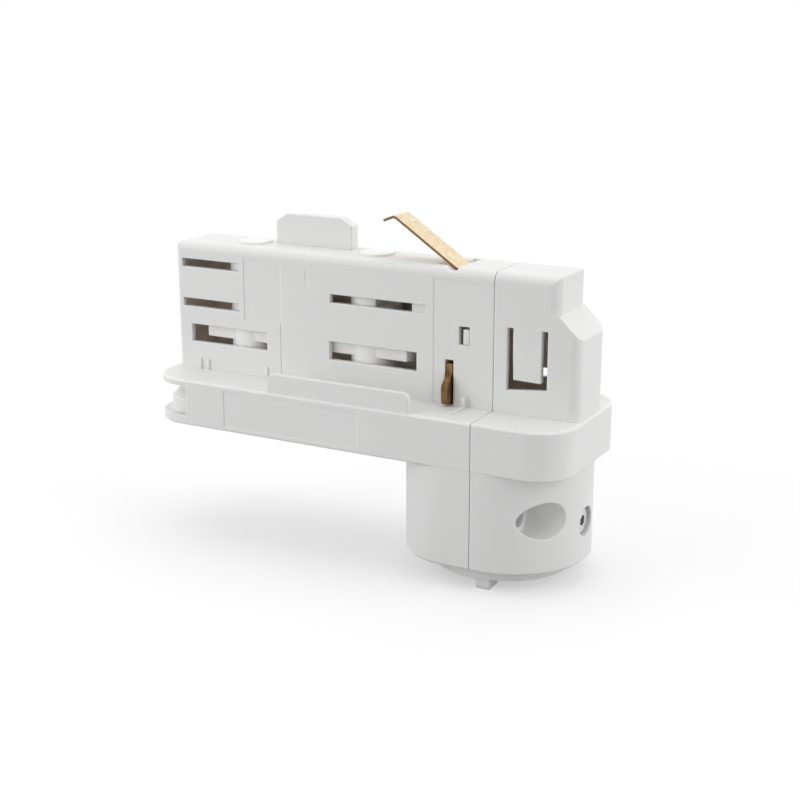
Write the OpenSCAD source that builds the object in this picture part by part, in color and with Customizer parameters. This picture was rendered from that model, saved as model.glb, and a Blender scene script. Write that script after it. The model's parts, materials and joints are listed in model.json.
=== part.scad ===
// Track light adapter for a three-circuit lighting track.
// A split moulded housing holds two contact rotors, an earth spring, a side earth contact,
// a terminal block and a turning stem bush that carries the luminaire.
// Frame: X = 0 is the split plane and holds the stem axis, Y = 0 is the centre plane,
// Z = 0 is the flange face that seats against the track, and +Z points into the track.

/* [Track insert] */
// Width of the insert between its two side faces
insert_w = 13.2; // [12.8:0.1:14]
// Height of the insert above the flange
insert_h = 27.6; // [26.5:0.1:30]
// Reach of the insert from the stem axis to its free end
insert_reach = 75.5; // [75:0.1:76]
// Side and end wall of the insert
insert_wall = 1.2; // [1:0.05:1.4]
// Roof of the insert
roof_t = 1.4; // [1.2:0.1:2]
// Radius along the long top edges
insert_top_r = 1.8; // [1:0.1:2.5]
// Radius on the upright edges of the free end
insert_corner_r = 1; // [0.5:0.1:1.5]
// Radius along the top edge of the free end
insert_end_r = 1.4; // [0.8:0.1:2]

/* [Insert end] */
// Reach of the upper part of the end past the stem axis
end_upper_reach = 13.6; // [13:0.1:15]
// Reach of the lower part of the end past the stem axis
end_lower_reach = 17.9; // [16.5:0.1:18.2]
// Height at which the slope between the two parts starts
end_step_h = 20.2; // [19:0.1:22]
// Radius on the upright edges of the end
end_corner_r = 2; // [1:0.1:3]
// Left edge of the snap tongue's slot
latch_from = 2.9; // [2.6:0.1:3.1]
// Width of the snap tongue's slot
latch_w = 8.5; // [8:0.1:8.8]
// Lower edge of the snap tongue's slot
latch_bottom = 4.7; // [4:0.1:5.5]
// Height of the snap tongue's slot
latch_h = 12.4; // [11:0.1:13]
// Cut beside the tongue
latch_cut = 1.3; // [1:0.05:1.6]
// Gap below the tongue's tip
latch_tip_gap = 2.1; // [1.5:0.1:3]
// Rise of the slot's lower edge towards the end
latch_rise = 0.8; // [0.4:0.1:1]
// Height of the sloping facet at the tongue's lower corner
latch_facet_h = 5.6; // [4:0.1:6]
// Depth of that facet at the corner
latch_facet = 0.4; // [0.2:0.05:0.5]
// Reach of the locating frame into the main housing
spigot_len = 2.4; // [2:0.1:3]
// Wall of the locating frame
spigot_t = 1; // [0.8:0.1:1.2]
// Distance of the locating frame's foot above the flange
spigot_foot = 0.6; // [0.4:0.1:1]
// Distance of the snap hook's window from the stem axis to its middle
hook_dist = 6.3; // [6:0.1:6.6]
// Width of the snap hook's window
hook_w = 2.4; // [2:0.1:2.8]
// Height of the window's lower edge above the flange
hook_bottom = 12.5; // [12:0.1:13]
// Height of the snap hook's window
hook_h = 3.7; // [3.4:0.1:4]
// Width of the snap hook's nose
hook_nose_w = 1.3; // [1:0.1:1.5]
// Height of the snap hook's nose
hook_nose_h = 3; // [2.6:0.1:3.2]

/* [Key tab] */
// Distance of the key tab's middle from the stem axis
tab_dist = 45.4; // [45:0.1:46]
// Length of the key tab
tab_len = 18.4; // [14:0.1:20]
// Height of the key tab above the insert
tab_h = 6.4; // [4:0.1:8]
// Thickness of the key tab
tab_t = 2.5; // [1.5:0.1:3]
// Offset of the key tab's front face behind the centre plane
tab_offset = 1.2; // [0.5:0.1:2]
// Length of the chamfers at the tab's upper corners
tab_chamfer_len = 2.6; // [1:0.1:4]
// Drop of the chamfers at the tab's upper corners
tab_chamfer_drop = 1.6; // [0.5:0.1:3]

/* [Flange block] */
// Width of the block
block_w = 33; // [32.6:0.1:35]
// Height of the block below the track face
block_h = 9.9; // [9.5:0.1:11]
// Reach of the block from the stem axis to its free end
block_reach = 76.8; // [76.6:0.1:80]
// Reach of the block past the stem axis
block_end = 18.6; // [18.4:0.1:20]
// Radius of the block's upright corners
block_corner_r = 8; // [6:0.1:9]
// Thickness of the flange plate
flange_t = 1.3; // [1.1:0.1:1.6]
// Wall of the block
block_wall = 1.8; // [1.5:0.1:2]
// Distance from the stem axis to the finger window at the free end
window_dist = 66.9; // [66.5:0.1:69]
// Floor below the finger window
window_floor_t = 1.9; // [1.5:0.1:2.2]
// Depth of the finger window in its upper part
window_deep = 3.8; // [3:0.1:4.2]
// Depth of the finger window over its lower rim
window_shallow = 1.9; // [1.2:0.1:2.6]
// Height of the lower rim in the finger window
window_rim_h = 3; // [2:0.1:3.4]
// Length of the drain notch in the finger window
drain_len = 2.6; // [2:0.1:3]
// Depth of the drain notch
drain_depth = 0.6; // [0.4:0.1:0.8]
// Chamfer along the block's upper and lower edges
block_edge = 0.35; // [0.2:0.05:0.5]
// Inset of the cover screws from the cover's sides
post_inset = 3; // [2.7:0.1:3.4]
// Radius of the posts that take the cover screws
post_r = 2.6; // [2.2:0.1:2.8]

/* [Fence] */
// Distance from the stem axis to the near end of the fence
fence_dist = 13.5; // [12.8:0.1:16]
// Length of the fence on the flange edge
fence_len = 32.9; // [25:0.1:36]
// Height of the fence
fence_h = 4; // [3:0.1:5]
// Thickness of the fence
fence_t = 1.2; // [1:0.1:1.6]
// Radius of the fence's upper corners
fence_r = 1.6; // [0.8:0.1:2.5]
// Setback of the fence from the block's side
fence_setback = 0.25; // [0.1:0.05:0.5]

/* [Stem boss] */
// Inset of the boss's sides from the block's sides
boss_inset = 0.1; // [0.1:0.1:0.5]
// Reach of the boss's round side past the stem axis
boss_end = 18; // [17.6:0.1:18.4]
// Reach of the boss from the stem axis towards the free end
boss_reach = 19.1; // [18.8:0.1:19.4]
// Half of the flat width on the boss's side towards the free end
boss_flat = 3.4; // [3:0.1:5]
// Depth of the boss below the track face
boss_depth = 30.2; // [29.9:0.1:32]
// Chamfer along the boss's lower edge
boss_edge = 0.6; // [0.3:0.1:1]
// Depth of the wiring chamber's floor below the track face
chamber_depth = 14.5; // [14.2:0.1:15]
// Radius of the wire passage between the chamber and the bush
passage_r = 6; // [5:0.1:6.4]
// Shadow gap between the two housings
seam_gap = 0.16; // [0.1:0.02:0.25]

/* [Rotors] */
// Distance of the selector rotor's axis from the insert's free end
selector_inset = 16.2; // [15.9:0.1:16.5]
// Distance of the locking rotor's axis from the stem axis
locking_dist = 29.5; // [29.3:0.1:29.8]
// Wall left between a drum's bore and the insert's side face
drum_wall = 0.85; // [0.7:0.05:1.1]
// Radius of the journals in the roof
journal_r = 3.6; // [3.2:0.1:3.8]
// Height of the journals above the roof
journal_proud = 0.4; // [0.2:0.1:0.8]
// Radius of the spindles in the base cover
spindle_r = 3.2; // [3:0.1:3.4]
// Width of the collar above the cover
collar_w = 1.2; // [1:0.1:1.6]
// Width of the square drive below the cover
drive_w = 4.2; // [3.8:0.1:4.4]
// Height of the locking lugs' underside above the flange
lug_bottom = 7.1; // [7:0.1:7.3]
// Thickness of the locking lugs
lug_t = 2.4; // [2:0.1:2.5]
// Step from a drum's radius in to a lug's side
lug_step = 0.55; // [0.3:0.05:1.4]
// Reach of a rotor's short locking lug
lug_reach = 9.4; // [9:0.1:9.8]
// Reach of a rotor's long locking lug, on its blades' side
long_lug_reach = 10.7; // [10:0.1:11.4]
// Distance from the locking rotor's axis to the notch in front of its blade
notch_from = 2.4; // [2:0.1:3]
// Height of that notch
notch_h = 2.4; // [2:0.1:3]

/* [Contact blades] */
// Drop from the insert's top to the selector's upper blade
high_drop = 4.5; // [4:0.1:5]
// Drop from the insert's top to the locking rotor's blade
middle_drop = 8.8; // [8.3:0.1:9.3]
// Drop from the insert's top to the selector's lower blade
low_drop = 13.1; // [12.6:0.1:13.6]
// Reach of a blade from its rotor's axis
blade_reach = 11.4; // [9:0.1:11.6]
// Length of a blade's tail behind the axis
blade_tail = 3.5; // [2:0.1:4]
// Width of a blade
blade_w = 3; // [2:0.1:3.2]
// Thickness of a blade
blade_t = 0.8; // [0.6:0.05:0.9]
// Offset of a blade's near edge behind its rotor's axis
blade_offset = 0.4; // [0.3:0.1:0.8]

/* [Side slots] */
// Height of a blade slot
thin_slot_h = 1.8; // [1.7:0.1:2]
// Length of a blade slot on its blade's side of the axis
thin_slot_len = 14.6; // [14.2:0.1:15]
// Length of the locking blade's slot on the other side of the axis
thin_slot_back = 7.4; // [5:0.1:8]
// Length of the closed, shallow end of the locking blade's slot
thin_slot_blind = 3.4; // [1:0.1:3.8]
// Depth of that closed end
blind_depth = 0.8; // [0.5:0.1:0.9]
// Height of a lug slot
lug_slot_h = 3.9; // [3.5:0.1:4.2]
// Height of a lug slot's lower edge above the flange
lug_slot_bottom = 5.9; // [5.7:0.1:6.2]
// Length of a lug slot on the blade's side of the axis
lug_slot_len = 12.7; // [12:0.1:13]
// Length of the selector's lug slot on the other side
selector_slot_back = 6.8; // [6.6:0.1:7.6]
// Length of the locking rotor's lug slot on the other side
locking_slot_back = 7.7; // [7:0.1:8]

/* [Surface details] */
// Depth of the fine fields and lines in the side faces
field_depth = 0.08; // [0.05:0.01:0.15]
// Width of the fine lines in the side faces
line_w = 0.22; // [0.15:0.01:0.3]
// Distance of the fields' upper edge below the insert's top
field_drop = 2.4; // [2:0.1:3]
// Start of the selector's field past the rotor's axis
field_from = 1.2; // [1:0.1:2]
// Length of the selector's field
field_len = 9; // [8:0.1:10]
// Length of the field next to the split plane
end_field_len = 13.1; // [12:0.1:13.6]
// Distance from the stem axis to the shallow panel on the block's side
panel_dist = 25; // [22:0.1:26]
// Length of the shallow panel
panel_len = 32.2; // [28:0.1:34]
// Margin of the shallow panel below and above
panel_margin = 1.1; // [0.8:0.1:1.6]
// Height of the foot ribs
rib_h = 2.3; // [1.5:0.1:3]
// Thickness of the foot ribs
rib_t = 0.5; // [0.4:0.05:0.7]
// Stand of the foot ribs out of the side face
rib_proud = 0.35; // [0.2:0.05:0.5]
// Distance from the selector's axis to the farthest foot rib
rib_far = 10.8; // [10.4:0.1:11.2]
// Distance from the selector's axis to the second foot rib
rib_near = 8.7; // [8.3:0.1:9.1]
// Distance from the selector's axis to the rib on its other side
rib_back = 6.4; // [6:0.1:6.8]
// Length of the low rim beside the side earth contact
rim_len = 6.4; // [5:0.1:7]
// Height of the low rim
rim_h = 0.5; // [0.3:0.05:0.6]
// Stand of the low rim's foot rib out of the side face
rim_foot = 1.2; // [0.8:0.1:1.6]

/* [Base cover and knobs] */
// Depth of the cover's upper face below the track face
cover_depth = 6; // [5.6:0.1:6.2]
// Thickness of the cover
cover_t = 1.4; // [1.2:0.1:1.6]
// Width of the ledge that the cover seats on
cover_ledge = 1; // [0.6:0.1:1.4]
// Distance from the stem axis to the cover's near edge
cover_dist = 20.3; // [20.1:0.1:20.6]
// Reach of the cover past the selector rotor's axis
cover_past = 4.2; // [2.8:0.1:4.6]
// Radius of a knob's disc
knob_r = 8.4; // [7.5:0.1:8.6]
// Thickness of a knob's disc
knob_t = 1.9; // [1.6:0.1:2.1]
// Margin of the cover round a knob
knob_margin = 1.2; // [1:0.1:1.4]
// Height of a knob's grip bar
grip_h = 2.6; // [2:0.1:4]
// Width of a knob's grip bar
grip_w = 5.2; // [4.6:0.1:6]
// Margin of the grip bar inside the disc's rim
grip_margin = 1; // [0.6:0.1:1.6]
// Radius of the grip bar's corners
grip_corner_r = 2.2; // [1:0.1:2.3]
// Length of the pointer groove in the grip bar
pointer_len = 1.6; // [1:0.1:2]
// Width of the pointer groove
pointer_w = 0.7; // [0.5:0.1:1]
// Depth of the pointer groove
pointer_depth = 0.4; // [0.2:0.1:0.8]

/* [Earth contacts] */
// Width of the earth spring
spring_w = 5.8; // [4:0.1:6]
// Thickness of the earth spring
spring_t = 0.5; // [0.4:0.05:0.7]
// Distance of the earth spring's root from the stem axis
spring_dist = 9; // [8.8:0.1:9.4]
// Depth of the earth spring's root below the insert's top
spring_root_depth = 0.9; // [0.8:0.1:1]
// Length of the earth spring from its root to its bend
spring_len = 17.2; // [14:0.1:18]
// Rise angle of the earth spring
spring_rise = 33.6; // [30:0.1:36]
// Length of the earth spring's tip past the bend
spring_tip = 2.6; // [2:0.1:3.5]
// Fall angle of the earth spring's tip
spring_fall = 22; // [10:1:40]
// Radius of the earth spring's bend
spring_bend_r = 1.1; // [0.8:0.1:1.6]
// Radius of the earth spring's rolled root
spring_eye_r = 0.5; // [0.4:0.05:0.6]
// Angle by which the track presses the earth spring down
spring_press = 16; // [12:1:18]
// Depth of the notch in front of the earth spring's root
spring_notch = 0.8; // [0.6:0.05:0.9]
// Offset of the earth spring's middle in front of the centre plane
spring_offset = 1.1; // [0:0.1:1.4]
// Distance of the side earth contact's middle from the stem axis
fin_dist = 9.55; // [9.2:0.05:9.8]
// Thickness of the side earth contact
fin_t = 1.3; // [1:0.1:1.6]
// Height of the side earth contact
fin_h = 8.4; // [7:0.1:9]
// Stand of the side earth contact out of the side face
fin_stand = 2.1; // [1.5:0.1:2.2]
// Depth of the side earth contact inside the side face
fin_depth = 3.6; // [3:0.1:4]
// Height of the side earth contact's foot above the flange
fin_foot = 0.5; // [0.4:0.1:0.8]
// Chamfer at the side earth contact's lower corner
fin_chamfer = 0.5; // [0.3:0.1:0.8]
// Height at which the side earth contact starts to draw in
fin_bulge_h = 4.2; // [3.6:0.1:4.6]
// Height at which the side earth contact lies behind the side face
fin_neck_h = 6.5; // [6:0.1:6.8]
// Depth of that upper part behind the side face
fin_neck_depth = 0.2; // [0.1:0.1:0.6]
// Height of the side earth contact's slot above its top
fin_slot_over = 0.8; // [0.5:0.1:1]

/* [Stem bush] */
// Radius of the bush's disc below the boss
bush_disc_r = 14.3; // [13:0.1:15.5]
// Thickness of the bush's disc
bush_disc_t = 1.8; // [1.5:0.1:2.5]
// Radius of the bush's neck in the boss floor
bush_neck_r = 7; // [6.5:0.1:7.4]
// Radius of the bush's hub inside the boss
bush_hub_r = 9; // [8.8:0.1:9.1]
// Floor of the hub below the stem nut
hub_floor_t = 2.1; // [1.7:0.1:2.2]
// Floor of the boss round the bush's neck
boss_floor_t = 2.5; // [2:0.1:2.8]
// Radius of the stem's clearance bore
stem_bore_r = 5.1; // [4.8:0.1:5.4]
// Radius of the threaded hole in the stem nut
stem_thread_r = 4.6; // [4:0.1:4.8]
// Width of the stem nut across its flats
stem_nut_af = 14; // [13:0.1:14.6]
// Thickness of the stem nut
stem_nut_t = 3.6; // [3:0.1:3.8]
// Thickness of the washer under the hub
washer_t = 0.4; // [0.3:0.05:0.6]
// Height of the driving lug below the disc
bush_lug_h = 2; // [1:0.1:3]
// Width of the driving lug
bush_lug_w = 3; // [2:0.1:4]
// Radial length of the driving lug
bush_lug_len = 4; // [3:0.1:5]
// Distance of the driving lug from the disc's rim and from the split plane
bush_lug_inset = 0.4; // [0.2:0.1:1]

/* [Screws] */
// Inset of the housing screws from the boss's sides
joint_screw_inset = 5.6; // [5.4:0.1:5.8]
// Depth of the housing screws below the track face
joint_screw_depth = 19.1; // [18.9:0.1:19.4]
// Radius of the wide entry to a housing screw
joint_entry_r = 3.75; // [3.5:0.05:3.8]
// Distance of the wide entry's floor from the split plane
joint_entry_floor = 8.2; // [7.8:0.1:8.4]
// Radius of a housing screw's head
joint_head_r = 2.1; // [1.8:0.1:2.2]
// Height of a housing screw's head
joint_head_h = 1.7; // [1.2:0.1:2.2]
// Distance of a housing screw's seat from the split plane
joint_seat = 3; // [2.5:0.1:4]
// Radius of a housing screw's shank
joint_shank_r = 1.4; // [1:0.1:1.5]
// Length of a housing screw's shank
joint_shank_len = 11; // [8:0.1:13]
// Depth of the grub screw below the track face
grub_depth = 21.7; // [21.4:0.1:22.2]
// Offset of the grub screw in front of the centre plane
grub_offset = 0.4; // [0:0.1:1]
// Radius of the grub screw
grub_r = 2.4; // [2:0.1:2.5]
// Length of the grub screw
grub_len = 7.9; // [6:0.1:8]
// Radius of the entry to the grub screw
grub_entry_r = 3.1; // [2.8:0.1:3.3]
// Depth of the entry to the grub screw
grub_entry_depth = 2.8; // [2:0.1:3.2]
// Radius of a cover screw's shank
cover_screw_r = 1; // [0.8:0.1:1.2]
// Radius of a cover screw's head
cover_head_r = 1.9; // [1.6:0.1:2]
// Height of a cover screw's head
cover_head_h = 0.8; // [0.6:0.1:0.9]
// Radius of a knob screw's shank
knob_screw_r = 1.1; // [0.8:0.1:1.3]
// Radius of a knob screw's head
knob_head_r = 1.9; // [1.6:0.1:2]
// Height of a knob screw's head
knob_head_h = 1; // [0.8:0.1:1.4]

/* [Wiring] */
// Gap between the terminal block and the boss's flat wall
terminal_setback = 2.1; // [1.8:0.1:2.4]
// Pitch of the three terminals
terminal_pitch = 7.6; // [7.2:0.1:7.8]
// Length of the terminal block
terminal_len = 9; // [8.6:0.1:9.4]
// Height of the terminal block
terminal_h = 8; // [7.6:0.1:8.2]
// Width of a clamp
clamp_w = 5; // [4.6:0.1:5.4]
// Length of a clamp
clamp_len = 5; // [4.6:0.1:5.4]
// Height of a clamp
clamp_h = 5.8; // [5.4:0.1:6]
// Wall of the terminal block behind a clamp
clamp_margin = 1.1; // [0.9:0.1:1.2]
// Depth of a clamp below the terminal block's top
clamp_sink = 0.8; // [0.6:0.1:1]
// Distance of a clamp's wire hole from its front
wire_hole_dist = 1.6; // [1.4:0.1:2]
// Radius of a clamp's wire hole
wire_hole_r = 1.1; // [0.9:0.1:1.3]
// Radius of a terminal screw's shank
terminal_screw_r = 1.1; // [0.9:0.1:1.2]
// Radius of a terminal screw's head
terminal_head_r = 1.9; // [1.6:0.1:2.1]
// Gap between a terminal screw's head and its clamp
terminal_head_gap = 0.6; // [0.4:0.1:0.8]
// Width of a terminal screw's slot
terminal_slot_w = 0.6; // [0.4:0.1:0.8]
// Thickness of the bus strips
bus_t = 0.8; // [0.6:0.1:1]
// Width of the bus strips where the posts leave room for it
bus_strip_w = 2.6; // [2:0.1:2.6]
// Distance of the bus strips from the insert's inner face
bus_gap = 0.8; // [0.6:0.1:1]
// Width of a bus strip's contact finger
finger_w = 2.8; // [2:0.1:3.4]
// Width of the earth strap
strap_w = 4; // [3:0.1:5]
// Radius of the slip rings on the rotors
ring_r = 5; // [4.8:0.1:5.1]
// Height of the slip rings
ring_h = 2; // [1.6:0.1:2.2]

/* [Fits] */
// Radial running clearance of shafts in their holes
running_gap = 0.05; // [0.03:0.01:0.08]
// Clearance between pieces that move past each other
moving_gap = 0.3; // [0.25:0.05:0.35]
// Clearance between pieces that are fixed together
seat_gap = 0.1; // [0.05:0.05:0.15]
// Clearance of pieces that are pressed together
press_gap = 0.02; // [0.01:0.01:0.04]

/* [Hidden] */
$fn = 64;

white_plastic = [0.92, 0.92, 0.91];
pale_plastic = [0.86, 0.86, 0.84];
brass = [0.80, 0.62, 0.30];
steel = [0.72, 0.72, 0.74];

// A cut runs this far past the face that it opens
over = 0.5;
// Driver recess as shares of the head: length and width of its radius, depth of its height
recess_len = 1.2;
recess_w = 0.28;
recess_depth = 0.6;

insert_y = insert_w / 2;
inner_y = insert_y - insert_wall;
roof_z = insert_h - roof_t;
high_level = insert_h - high_drop;
middle_level = insert_h - middle_drop;
low_level = insert_h - low_drop;
block_y = block_w / 2;
drum_bore_r = insert_y - drum_wall;
drum_r = drum_bore_r - moving_gap;
lug_y = drum_r - lug_step;
selector_x = -insert_reach + selector_inset;
locking_x = -locking_dist;
tab_x = -tab_dist;

cover_top = -cover_depth;
cover_bottom = cover_top - cover_t;
knob_top = cover_bottom - moving_gap;
knob_bottom = knob_top - knob_t;
grip_bottom = knob_bottom - grip_h;
ring_bottom = -flange_t - ring_h;

boss_bottom = -boss_depth;
boss_r = block_y - boss_inset;
boss_corner_r = boss_r - boss_flat;
hub_seat = boss_bottom + boss_floor_t;
hub_bottom = hub_seat + washer_t;
hub_top = hub_bottom + hub_floor_t + stem_nut_t;
disc_top = boss_bottom - moving_gap;
disc_bottom = disc_top - bush_disc_t;

latch_to = latch_from + latch_w;
latch_top = latch_bottom + latch_h;
latch_tip = latch_bottom + latch_tip_gap;
boss_arc_x = boss_end - boss_r;
joint_screw_y = boss_r - joint_screw_inset;
grub_y = -grub_offset;
hook_x = [-hook_dist - hook_w / 2, -hook_dist + hook_w / 2];
hook_z = [hook_bottom, hook_bottom + hook_h];

spring_x = -spring_dist;
spring_z = insert_h - spring_root_depth;
spring_y = [-spring_offset - spring_w / 2, -spring_offset + spring_w / 2];
fin_x = [-fin_dist - fin_t / 2, -fin_dist + fin_t / 2];
strap_top = spring_z - spring_eye_r - 2 * seat_gap;

terminal_from = -boss_reach + block_wall + seat_gap + terminal_setback;
terminal_x = [terminal_from, terminal_from + terminal_len];
terminal_top = -chamber_depth + terminal_h;
clamp_x = [terminal_x[0] + clamp_margin, terminal_x[0] + clamp_margin + clamp_len];
clamp_top = terminal_top - clamp_sink;
clamp_z = clamp_top - clamp_h / 2;
leg_x = clamp_x[0] + moving_gap;
bus_y = inner_y + bus_gap;
cover_far = -selector_x + cover_past;
cover_y = block_y - block_wall;
cover_post = [(selector_x + locking_x) / 2, cover_y - post_inset];
bus_w = min(bus_strip_w, cover_post[1] - post_r - seat_gap - bus_y);

// Reach of a cut in Y through the insert's wall on the given side
function side_wall(side) = side < 0 ? [-insert_y - over, -inner_y + over] : [inner_y - over, insert_y + over];

// Block from corner to corner, each axis as [from, to]
module block(x, y, z)
    translate([x[0], y[0], z[0]])
        cube([x[1] - x[0], y[1] - y[0], z[1] - z[0]]);

// Rectangle from corner to corner
module rect(x, y)
    translate([x[0], y[0]])
        square([x[1] - x[0], y[1] - y[0]]);

// Rectangle with four round corners
module soft_rect(x, y, r) {
    rect([x[0] + r, x[1] - r], y);
    rect(x, [y[0] + r, y[1] - r]);
    for (px = [x[0] + r, x[1] - r])
        for (py = [y[0] + r, y[1] - r])
            translate([px, py]) circle(r);
}

// Outline in Y and Z carried along X
module along_x(x)
    translate([x[0], 0, 0])
        rotate([90, 0, 90])
            linear_extrude(x[1] - x[0]) children();

// Outline in X and Z carried along Y
module along_y(y)
    translate([0, y[1], 0])
        rotate([90, 0, 0])
            linear_extrude(y[1] - y[0]) children();

// Outline in X and Y carried along Z
module along_z(z)
    translate([0, 0, z[0]])
        linear_extrude(z[1] - z[0]) children();

// Round bar along X
module bar_x(x, y, z, r)
    translate([x[0], y, z])
        rotate([0, 90, 0]) cylinder(r = r, h = x[1] - x[0]);

// Round bar along Z
module bar_z(x, y, z, r)
    translate([x, y, z[0]]) cylinder(r = r, h = z[1] - z[0]);

// Section of the insert with its two rounded top edges
module insert_section() {
    r = insert_top_r;
    rect([-insert_y, insert_y], [-flange_t, insert_h - r]);
    rect([-insert_y + r, insert_y - r], [-flange_t, insert_h]);
    for (side = [-1, 1])
        translate([side * (insert_y - r), insert_h - r]) circle(r);
}

// Plan of the whole flange block, drawn in by inset
module block_plan(inset = 0)
    soft_rect([-block_reach + inset, block_end - inset], [-block_y + inset, block_y - inset],
        block_corner_r - inset);

// Slab of the block's plan, drawn in by low at its bottom and by high at its top
module eased_block(z, low, high) {
    r = block_corner_r;
    x = [-block_reach, block_end];
    side_y = block_y - r;
    for (px = [x[0] + r, x[1] - r])
        for (side = [-1, 1])
            translate([px, side * side_y, z[0]])
                cylinder(r1 = r - low, r2 = r - high, h = z[1] - z[0]);
    along_y([-side_y, side_y])
        polygon([[x[0] + low, z[0]], [x[1] - low, z[0]], [x[1] - high, z[1]], [x[0] + high, z[1]]]);
    along_x([x[0] + r, x[1] - r])
        polygon([[-block_y + low, z[0]], [block_y - low, z[0]],
            [block_y - high, z[1]], [-block_y + high, z[1]]]);
}

// Plan of the stem boss, drawn in by inset
module boss_plan(inset = 0) {
    translate([boss_arc_x, 0]) circle(boss_r - inset);
    difference() {
        soft_rect([-boss_reach + inset, boss_reach + boss_end], [-boss_r + inset, boss_r - inset],
            boss_corner_r - inset);
        rect([boss_arc_x, 2 * boss_reach + boss_end], [-block_w, block_w]);
    }
}

// Lowest slab of the boss, drawn in by its chamfer at the bottom
module boss_foot(z) {
    r = boss_corner_r;
    x = [-boss_reach, boss_arc_x];
    side_y = boss_r - r;
    h = z[1] - z[0];
    translate([boss_arc_x, 0, z[0]]) cylinder(r1 = boss_r - boss_edge, r2 = boss_r, h = h);
    for (side = [-1, 1])
        translate([x[0] + r, side * side_y, z[0]]) cylinder(r1 = r - boss_edge, r2 = r, h = h);
    along_y([-side_y, side_y])
        polygon([[x[0] + boss_edge, z[0]], [x[1], z[0]], [x[1], z[1]], [x[0], z[1]]]);
    along_x([x[0] + r, x[1]])
        polygon([[-boss_r + boss_edge, z[0]], [boss_r - boss_edge, z[0]], [boss_r, z[1]], [-boss_r, z[1]]]);
}

// Outer form of the flange block and the boss before it is split
module outer_form() {
    along_z([-block_h + block_edge, -block_edge]) block_plan();
    eased_block([-block_edge, 0], 0, block_edge);
    eased_block([-block_h, -block_h + block_edge], block_edge, 0);
    along_z([boss_bottom + boss_edge, -block_h + block_edge]) boss_plan();
    boss_foot([boss_bottom, boss_bottom + boss_edge]);
}

// Plan of the opening under the block that the base cover fills, grown by grow
module cover_plan(grow = 0) {
    rect([-cover_far - grow, -cover_dist + grow], [-cover_y - grow, cover_y + grow]);
    translate([selector_x, 0]) circle(knob_r + knob_margin + grow);
}

// Space for the stem bush and the wire passage above it
module bush_space() {
    bar_z(0, 0, [boss_bottom - over, hub_seat + over], bush_neck_r + running_gap);
    bar_z(0, 0, [hub_seat, hub_top + moving_gap], bush_hub_r + moving_gap);
    bar_z(0, 0, [hub_seat, -chamber_depth + over], passage_r);
}

// Finger window round the free end of the block
module finger_window() {
    z = [-block_h + window_floor_t, -flange_t];
    rim_z = z[0] + window_rim_h;
    slope = window_deep - window_shallow;
    difference() {
        block([-block_reach - over, -window_dist], [-block_w, block_w], z);
        along_z([z[0] - over, z[1] + over]) block_plan(window_deep);
        along_z([z[0] - over, rim_z]) block_plan(window_shallow);
        eased_block([rim_z, rim_z + slope], window_shallow, window_deep);
    }
    drain_x = -window_dist - drain_depth;
    drain_y = -block_y + window_shallow;
    block([drain_x - drain_len, drain_x], [drain_y - drain_depth, drain_y],
        [z[0] - drain_depth, z[0] + over]);
}

// Slots through a side wall for one rotor, drawn with the blades pointing to +X from its axis
module side_slots(levels, thin_back, lug_back, blind) {
    front = side_wall(-1);
    rear = side_wall(1);
    lug_z = [lug_slot_bottom, lug_slot_bottom + lug_slot_h];
    block([-lug_back, lug_slot_len], front, lug_z);
    block([-lug_slot_len, lug_back], rear, lug_z);
    for (level = levels) {
        z = [level - thin_slot_h / 2, level + thin_slot_h / 2];
        block([-thin_back, thin_slot_len - blind], front, z);
        block([0, thin_slot_len], [-insert_y - over, -insert_y + blind_depth], z);
    }
}

// Fine lines and shallow fields moulded into the side faces
module face_fields() {
    face = [-insert_y - over, -insert_y + field_depth];
    side = [-block_y - over, -block_y + field_depth];
    x = [selector_x + field_from, selector_x + field_from + field_len];
    top = insert_h - field_drop;
    block(x, face, [low_level - notch_h, top]);
    block([x[1], x[1] + line_w], face, [0, top]);
    line_x = tab_x + tab_chamfer_len;
    block([line_x, line_x + line_w], face, [middle_level + thin_slot_h, top - field_drop / 2]);
    block([-end_field_len, over], face, [0, top]);
    block([-panel_dist - panel_len, -panel_dist], side, [-block_h + panel_margin, -panel_margin]);
}

// Slot in the roof for the rolled root of the earth spring, with a ramp below the strip
module spring_pocket() {
    ramp = spring_rise - spring_press;
    drop = (spring_t / 2 + moving_gap) / cos(ramp);
    x = [spring_x - spring_eye_r - moving_gap, spring_x + spring_eye_r + moving_gap];
    ramp_z = spring_z - drop + tan(ramp) * (spring_x - x[0]);
    ramp_x = spring_x - (spring_root_depth + drop) / tan(ramp);
    notch_z = insert_h - spring_notch;
    top = insert_h + over;
    along_y([spring_y[0] - moving_gap, spring_y[1] + moving_gap])
        polygon([[x[0], roof_z - over], [x[1], roof_z - over], [x[1], top], [ramp_x, top],
            [ramp_x, insert_h], [x[0], ramp_z]]);
    along_y([-insert_y - over, spring_y[0]])
        polygon([[x[0], notch_z], [x[1], notch_z], [x[1], top],
            [x[0] - (spring_notch + over) / tan(spring_rise), top]]);
    block(x, [spring_y[0], spring_y[1] + spring_w / 2], [notch_z, top]);
}

// Outer form of the long insert, with rounded edges at its free end
module long_insert() {
    r = insert_end_r;
    x = -insert_reach;
    intersection() {
        along_x([x, 0]) insert_section();
        along_z([-block_h, insert_h + over])
            soft_rect([x, insert_reach], [-insert_y, insert_y], insert_corner_r);
        along_y([-insert_w, insert_w]) {
            rect([x, over], [-block_h, insert_h - r]);
            rect([x + r, over], [-block_h, insert_h + over]);
            translate([x + r, insert_h - r]) circle(r);
        }
    }
}

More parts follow.
